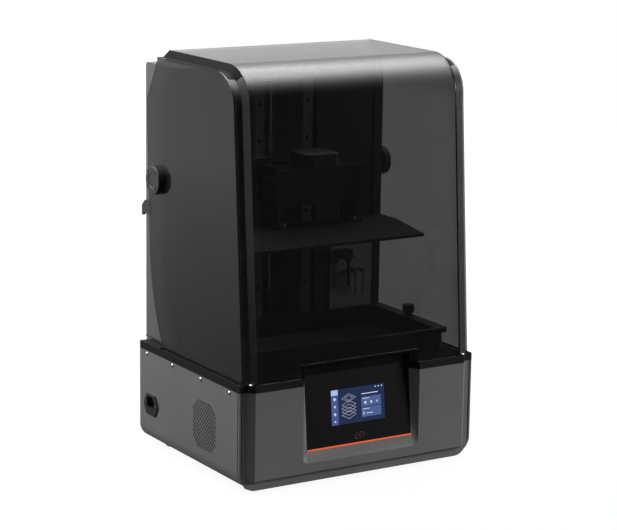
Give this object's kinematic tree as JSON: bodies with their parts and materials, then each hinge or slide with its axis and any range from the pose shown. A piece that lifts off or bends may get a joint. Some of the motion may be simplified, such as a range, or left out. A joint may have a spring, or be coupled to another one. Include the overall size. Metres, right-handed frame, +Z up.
{
  "type": "resin printer",
  "caption": "Large masked-screen resin printer with a tilting smoked hood, a lifting build platform over a resin vat, and a leaning touch screen in a grey folded-sheet base.",
  "frame": {"origin": "middle of the outside box, on the surface the feet stand on", "axes": "+X to the right as seen from the front, -Y out of the front, +Z up"},
  "size_m": [0.409, 0.339, 0.605],
  "materials": {
    "side_steel": "satin grey paint",
    "deck_black": "matt black paint",
    "tower_grey": "satin light grey paint",
    "frame_steel": "satin black paint",
    "trim_black": "fine matt black",
    "gloss_black": "polished black",
    "tinted": "smoked clear plastic",
    "rubber": "matt rubber",
    "steel": "ground steel",
    "alu": "dark anodised aluminium",
    "bright_alu": "bare aluminium",
    "brass": "turned brass",
    "glass_dark": "dark glass",
    "clear": "clear",
    "display": "lit display",
    "orange": "bright orange",
    "board": "green circuit board"
  },
  "bodies": {
    "base": {"base_shell": "side_steel", "rear_panel": "side_steel", "rear_screws": "steel", "front_bezel": "side_steel", "deck_plate": "deck_black", "deck_seal": "rubber", "side_screws": "steel", "deck_screws": "steel", "feet": "rubber", "screen_panel": "gloss_black", "touch_screen": "display", "accent_strip": "orange", "power_socket": "trim_black", "socket_pins": "steel", "socket_screws": "trim_black", "fan_nuts": "steel", "fan_housing": "trim_black", "power_supply": "bright_alu", "main_board": "board", "light_tunnel": "frame_steel", "lens": "clear", "light_source": "bright_alu", "mask_screen": "glass_dark", "z_motor": "frame_steel", "screw_bearings": "alu", "tower_frame": "frame_steel", "tower_cover": "tower_grey", "tower_trim": "trim_black", "tower_panels": "trim_black", "refill_spout": "trim_black", "level_probes": "steel", "linear_rails": "steel", "rail_screws": "trim_black", "hinge_pins": "steel", "rear_bracket": "trim_black"},
    "power_button": {"power_button": "gloss_black"},
    "fuse_drawer": {"fuse_drawer": "trim_black"},
    "fan": {"fan_rotor": "trim_black"},
    "screw": {"motor_coupling": "bright_alu", "lead_screw": "steel"},
    "carriage": {"rail_blocks": "steel", "arm": "alu", "screw_nut": "brass"},
    "platform": {"build_plate": "alu", "platform_bracket": "alu", "levelling_screws": "steel"},
    "clamp_knob": {"clamp_knob": "trim_black"},
    "vat": {"vat_frame": "alu", "vat_film": "clear", "film_frame": "alu"},
    "vat_screw_left": {"vat_screw_left": "trim_black"},
    "vat_screw_right": {"vat_screw_right": "trim_black"},
    "hood": {"hood_sheet": "tinted", "hood_frame": "gloss_black", "hood_grip": "gloss_black", "hood_left_panel": "tinted", "hood_right_panel": "tinted", "hinge_bushes": "brass", "hinge_hubs": "trim_black", "hub_screws": "steel"}
  },
  "joints": [
    {"name": "hood_hinge", "type": "hinge", "parent": "base", "child": "hood", "pos_m": [0, 0.094, 0.4145], "axis": [-1, 0, 0], "range_deg": [0, 80]},
    {"name": "z_slide", "type": "slide", "parent": "base", "child": "carriage", "axis": [0, 0, 1], "range_m": [-0.1665, 0.128]},
    {"name": "screw_spin", "type": "hinge", "parent": "base", "child": "screw", "pos_m": [0, 0.095, 0.37], "axis": [0, 0, 1], "range_deg": [-5800, 7520]},
    {"name": "platform_slide", "type": "slide", "parent": "carriage", "child": "platform", "axis": [0, -1, 0], "range_m": [0, 0.04]},
    {"name": "clamp_turn", "type": "hinge", "parent": "carriage", "child": "clamp_knob", "pos_m": [0, -0.029, 0.45], "axis": [0, 0, 1], "range_deg": [0, 540]},
    {"name": "vat_lift", "type": "slide", "parent": "base", "child": "vat", "axis": [0, 0, 1], "range_m": [0, 0.018]},
    {"name": "vat_screw_left_turn", "type": "hinge", "parent": "vat", "child": "vat_screw_left", "pos_m": [-0.17, -0.034, 0.21], "axis": [0, 0, 1], "range_deg": [0, 1080]},
    {"name": "vat_screw_right_turn", "type": "hinge", "parent": "vat", "child": "vat_screw_right", "pos_m": [0.17, -0.034, 0.21], "axis": [0, 0, 1], "range_deg": [0, 1080]},
    {"name": "button_press", "type": "slide", "parent": "base", "child": "power_button", "axis": [0, 0.9947, -0.1028], "range_m": [0, 0.001], "stiffness_N_per_m": 300, "springref_m": -0.001},
    {"name": "fuse_slide", "type": "slide", "parent": "base", "child": "fuse_drawer", "axis": [-1, 0, 0], "range_m": [0, 0.018]},
    {"name": "fan_spin", "type": "hinge", "parent": "base", "child": "fan", "pos_m": [-0.19, -0.059, 0.077], "axis": [1, 0, 0], "continuous": true}
  ],
  "couplings": [
    {"joint": "screw_spin", "follows": "z_slide", "rad_per_m": -785.4}
  ]
}
